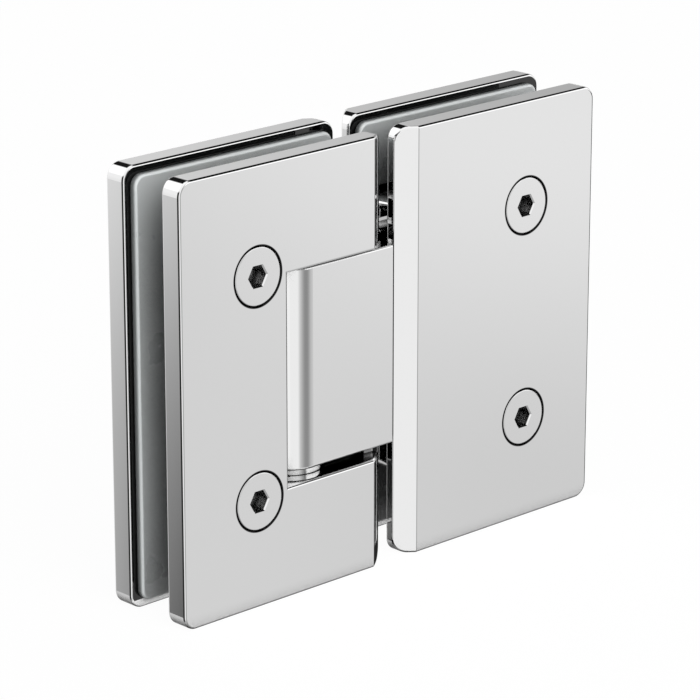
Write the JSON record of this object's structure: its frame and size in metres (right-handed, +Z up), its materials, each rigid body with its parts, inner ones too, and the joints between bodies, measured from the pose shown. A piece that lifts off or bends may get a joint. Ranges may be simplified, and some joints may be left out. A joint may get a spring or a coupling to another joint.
{
  "type": "glass door hinge",
  "caption": "Double-action hinge that joins a glass door to a glass panel: two pairs of flat clamp plates with gaskets, and a round-ended knuckle on a sprung pivot pin.",
  "frame": {"origin": "middle of the hinge at its bottom edge, halfway between the two clamps and between the front and back faces", "axes": "+X from the door clamp to the fixed clamp, -Y the front face with the screw heads, +Z up along the pivot pin"},
  "size_m": [0.114, 0.021, 0.09],
  "materials": {
    "polished_plate": "mirror-polished chrome plate",
    "screw_steel": "polished chrome plate",
    "bush_metal": "polished steel",
    "hard_steel": "turned steel",
    "gasket": "soft satin translucent plastic"
  },
  "bodies": {
    "fixed_clamp": {"fixed_front_plate": "polished_plate", "fixed_back_plate": "polished_plate", "fixed_front_gasket": "gasket", "fixed_back_gasket": "gasket", "hinge_body": "polished_plate", "fixed_clamp_screws": "screw_steel", "lower_bush": "bush_metal", "upper_bush": "bush_metal", "lower_spring": "hard_steel", "upper_spring": "hard_steel", "lower_spring_plug": "hard_steel", "upper_spring_plug": "hard_steel"},
    "door_clamp": {"door_front_plate": "polished_plate", "door_back_plate": "polished_plate", "door_front_gasket": "gasket", "door_back_gasket": "gasket", "door_carrier": "polished_plate", "door_clamp_screws": "screw_steel", "pivot_pin": "hard_steel", "pin_set_screws": "hard_steel", "lower_thrust_washer": "bush_metal", "upper_thrust_washer": "bush_metal"},
    "lower_plunger": {"lower_plunger": "hard_steel"},
    "upper_plunger": {"upper_plunger": "hard_steel"}
  },
  "joints": [
    {"name": "door_swing", "type": "hinge", "parent": "fixed_clamp", "child": "door_clamp", "pos_m": [-0.02, 0, 0.045], "axis": [0, 0, 1], "range_deg": [-90, 90]},
    {"name": "lower_plunger_slide", "type": "slide", "parent": "fixed_clamp", "child": "lower_plunger", "axis": [1, 0, 0], "range_m": [-0.0007, 0], "stiffness_N_per_m": 8000, "springref_m": -0.004, "deforming": ["lower_spring"]},
    {"name": "upper_plunger_slide", "type": "slide", "parent": "fixed_clamp", "child": "upper_plunger", "axis": [1, 0, 0], "range_m": [-0.0007, 0], "stiffness_N_per_m": 8000, "springref_m": -0.004, "deforming": ["upper_spring"]}
  ]
}
